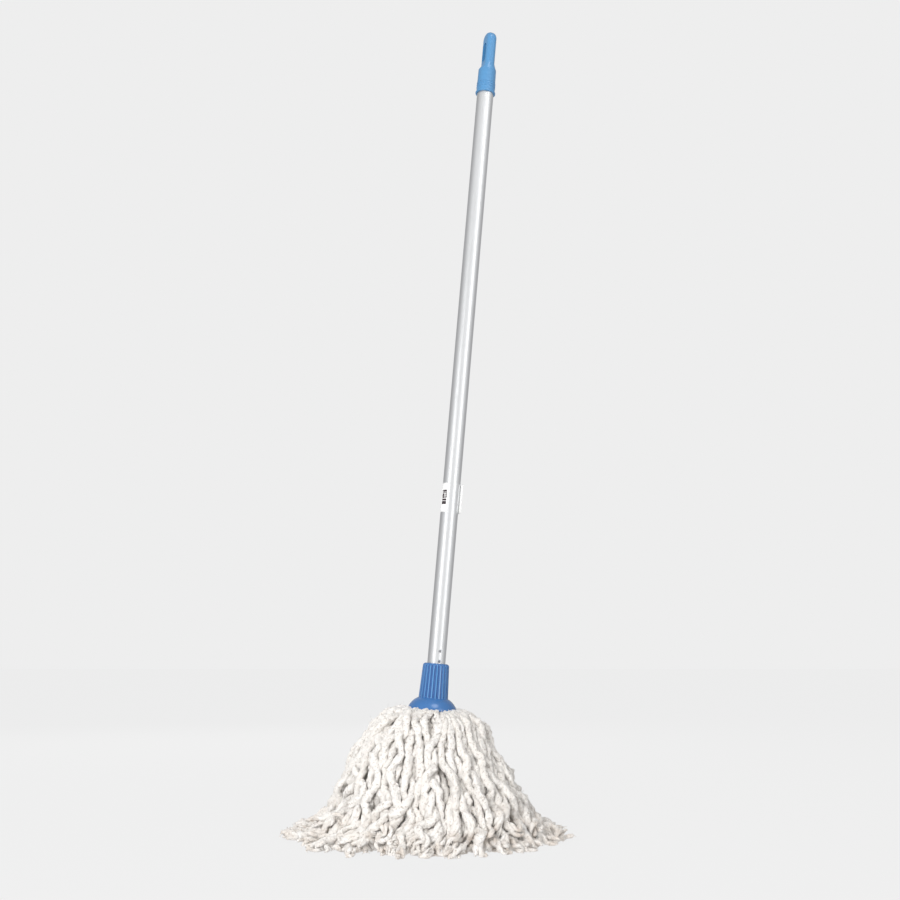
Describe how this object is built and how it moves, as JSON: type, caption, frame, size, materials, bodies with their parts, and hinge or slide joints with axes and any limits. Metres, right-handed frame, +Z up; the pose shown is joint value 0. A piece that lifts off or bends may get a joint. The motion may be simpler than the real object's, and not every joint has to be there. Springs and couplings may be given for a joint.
{
  "type": "string mop",
  "caption": "Round cotton string mop: a spread tuft of thick twisted yarns under a blue domed socket that unscrews from a leaning aluminium tube handle with a hanging cap.",
  "frame": {"origin": "middle of the yarn's footprint on the floor, where the handle's axis meets it", "axes": "+Z up, the mop's height; the handle leans 4.88 degrees towards +X; -Y is the front"},
  "size_m": [0.39, 0.39, 1.1863],
  "materials": {
    "tube_aluminium": "satin drawn aluminium",
    "cap_plastic": "soft sky blue polyethylene, satin",
    "label_paper": "white paper label",
    "socket_plastic": "moulded blue polypropylene",
    "plug_plastic": "dark moulded plastic",
    "plate_plastic": "moulded plastic",
    "zinc_steel": "zinc plated",
    "yarn_cotton": "fuzzy off-white twisted cotton yarn"
  },
  "bodies": {
    "head": {"clamp_plate": "plate_plastic", "clamp_screw": "zinc_steel", "clamp_washer": "zinc_steel", "mop_socket": "socket_plastic", "yarn_folds": "yarn_cotton", "yarn_inner_lock_01": "yarn_cotton", "yarn_inner_lock_02": "yarn_cotton", "yarn_inner_lock_03": "yarn_cotton", "yarn_inner_lock_04": "yarn_cotton", "yarn_inner_lock_05": "yarn_cotton", "yarn_inner_lock_06": "yarn_cotton", "yarn_inner_lock_07": "yarn_cotton", "yarn_inner_lock_08": "yarn_cotton", "yarn_middle_lock_01": "yarn_cotton", "yarn_middle_lock_02": "yarn_cotton", "yarn_middle_lock_03": "yarn_cotton", "yarn_middle_lock_04": "yarn_cotton", "yarn_middle_lock_05": "yarn_cotton", "yarn_middle_lock_06": "yarn_cotton", "yarn_middle_lock_07": "yarn_cotton", "yarn_middle_lock_08": "yarn_cotton", "yarn_middle_lock_09": "yarn_cotton", "yarn_middle_lock_10": "yarn_cotton", "yarn_middle_lock_11": "yarn_cotton", "yarn_middle_lock_12": "yarn_cotton", "yarn_outer_lock_01": "yarn_cotton", "yarn_outer_lock_02": "yarn_cotton", "yarn_outer_lock_03": "yarn_cotton", "yarn_outer_lock_04": "yarn_cotton", "yarn_outer_lock_05": "yarn_cotton", "yarn_outer_lock_06": "yarn_cotton", "yarn_outer_lock_07": "yarn_cotton", "yarn_outer_lock_08": "yarn_cotton", "yarn_outer_lock_09": "yarn_cotton", "yarn_outer_lock_10": "yarn_cotton", "yarn_outer_lock_11": "yarn_cotton", "yarn_outer_lock_12": "yarn_cotton", "yarn_outer_lock_13": "yarn_cotton", "yarn_outer_lock_14": "yarn_cotton", "yarn_outer_lock_15": "yarn_cotton", "yarn_outer_lock_16": "yarn_cotton"},
    "plug": {"threaded_plug": "plug_plastic"},
    "handle": {"handle_tube": "tube_aluminium", "hanging_cap": "cap_plastic", "handle_label": "label_paper"}
  },
  "joints": [
    {"name": "handle_lift", "type": "slide", "parent": "head", "child": "plug", "axis": [0.0851, 0, 0.9964], "range_m": [0, 0.025]},
    {"name": "handle_unscrew", "type": "hinge", "parent": "plug", "child": "handle", "pos_m": [0, 0, 0], "axis": [0.0851, 0, 0.9964], "range_deg": [0, 1800]}
  ],
  "couplings": [
    {"joint": "handle_lift", "follows": "handle_unscrew", "m_per_rad": 0.00079577}
  ]
}
